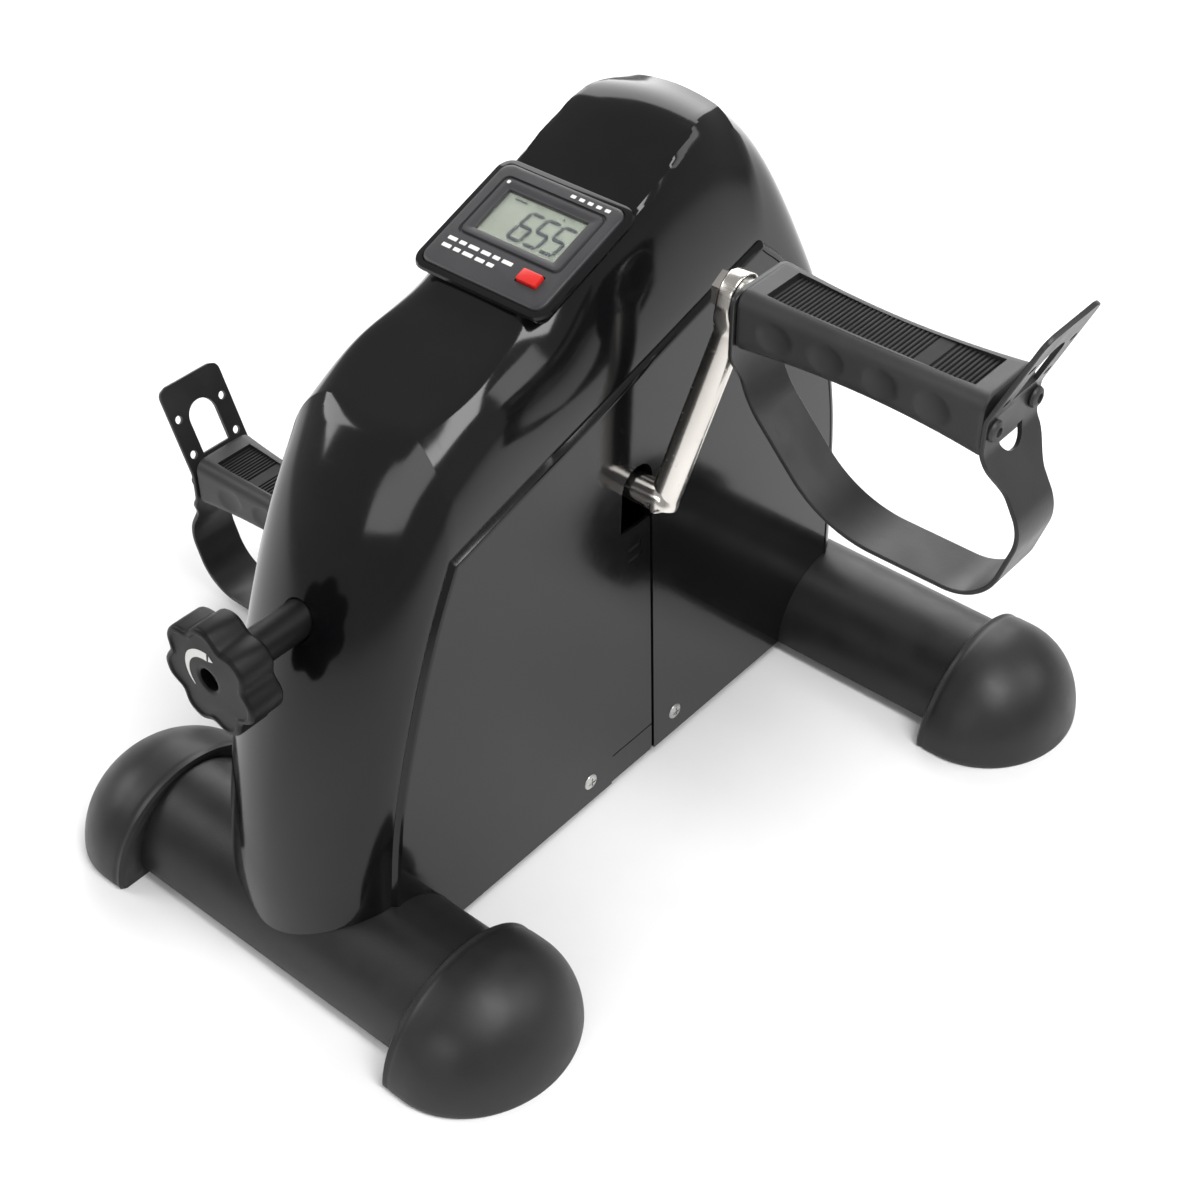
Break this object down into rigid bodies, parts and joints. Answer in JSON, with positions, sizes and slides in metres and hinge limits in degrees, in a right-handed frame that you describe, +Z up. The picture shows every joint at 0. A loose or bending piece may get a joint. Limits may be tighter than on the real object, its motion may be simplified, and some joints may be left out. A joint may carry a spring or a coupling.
{
  "type": "pedal exerciser",
  "caption": "Floor-standing pedal exerciser with a tapered gloss black housing, domed rubber feet, strapped pedals, a tension knob and a small display.",
  "frame": {"origin": "centre of the footprint, at floor level", "axes": "+X towards the right pedal, +Y away from the tension knob, +Z up"},
  "size_m": [0.4352, 0.4016, 0.3175],
  "materials": {
    "gloss_black": "gloss",
    "satin_steel": "satin",
    "black_rubber": "matte",
    "frame_steel": "satin",
    "plated_rod": "polished",
    "zinc_steel": "satin",
    "nylon": "matte",
    "cast_iron": "matte",
    "felt": "matte",
    "matte_black": "matte",
    "strap_vinyl": "satin",
    "meter_grey": "matte",
    "meter_glass": "gloss",
    "lcd_green": "satin",
    "board_green": "satin",
    "cell_steel": "satin",
    "button_red": "satin",
    "lead_sheath": "satin"
  },
  "bodies": {
    "root": {"bearing_bolts": "zinc_steel", "button_cell": "cell_steel", "centre_rail": "frame_steel", "front_beam": "satin_steel", "front_left_cap": "black_rubber", "front_post": "frame_steel", "front_right_cap": "black_rubber", "housing_screws": "zinc_steel", "housing_shell": "gloss_black", "lcd_panel": "lcd_green", "left_bearing_block": "frame_steel", "left_bearing_bush": "nylon", "left_bearing_cap": "frame_steel", "left_bracket": "frame_steel", "left_slot_cover": "gloss_black", "left_upright": "frame_steel", "meter_back": "matte_black", "meter_board": "board_green", "meter_case": "meter_grey", "meter_window": "meter_glass", "rear_beam": "satin_steel", "rear_left_cap": "black_rubber", "rear_right_cap": "black_rubber", "right_bearing_block": "frame_steel", "right_bearing_bush": "nylon", "right_bearing_cap": "frame_steel", "right_bracket": "frame_steel", "right_slot_cover": "gloss_black", "right_upright": "frame_steel", "screw_guide": "nylon", "sensor_lead": "lead_sheath", "speed_sensor": "matte_black"},
    "crank": {"crank": "plated_rod", "brake_drum": "cast_iron", "drum_set_screw": "zinc_steel", "sensor_magnet": "zinc_steel", "right_axle": "plated_rod", "left_axle": "plated_rod", "axle_nuts": "zinc_steel", "axle_washers": "zinc_steel", "axle_spacers": "zinc_steel"},
    "right_pedal": {"right_pedal": "matte_black", "right_tread": "black_rubber", "right_pedal_bushes": "nylon", "right_strap": "strap_vinyl", "right_strap_studs": "matte_black"},
    "left_pedal": {"left_pedal": "matte_black", "left_tread": "black_rubber", "left_pedal_bushes": "nylon", "left_strap": "strap_vinyl", "left_strap_studs": "matte_black"},
    "tension_knob": {"tension_knob": "matte_black", "tension_screw": "zinc_steel", "screw_collar": "zinc_steel"},
    "brake_band": {"brake_band": "felt", "tension_yoke": "frame_steel", "tension_nut": "zinc_steel", "band_rivets": "zinc_steel"},
    "meter_button": {"meter_button": "button_red"}
  },
  "joints": [
    {"name": "crank_spin", "type": "hinge", "parent": "root", "child": "crank", "pos_m": [0, 0.004, 0.172], "axis": [1, 0, 0], "continuous": true},
    {"name": "right_pedal_spin", "type": "hinge", "parent": "crank", "child": "right_pedal", "pos_m": [0.14, 0.03127, 0.26405], "axis": [1, 0, 0], "continuous": true},
    {"name": "left_pedal_spin", "type": "hinge", "parent": "crank", "child": "left_pedal", "pos_m": [-0.14, -0.02327, 0.07995], "axis": [1, 0, 0], "continuous": true},
    {"name": "tension_knob_turn", "type": "hinge", "parent": "root", "child": "tension_knob", "pos_m": [0, -0.185, 0.172], "axis": [0, 1, 0], "range_deg": [0, 1440]},
    {"name": "brake_band_pull", "type": "slide", "parent": "root", "child": "brake_band", "axis": [0, -1, 0], "range_m": [0, 0.005]},
    {"name": "meter_button_press", "type": "slide", "parent": "root", "child": "meter_button", "axis": [0, 0.3502, -0.9367], "range_m": [0, 0.001], "stiffness_N_per_m": 300}
  ],
  "couplings": [
    {"joint": "brake_band_pull", "follows": "tension_knob_turn", "m_per_rad": 0.00019894}
  ]
}
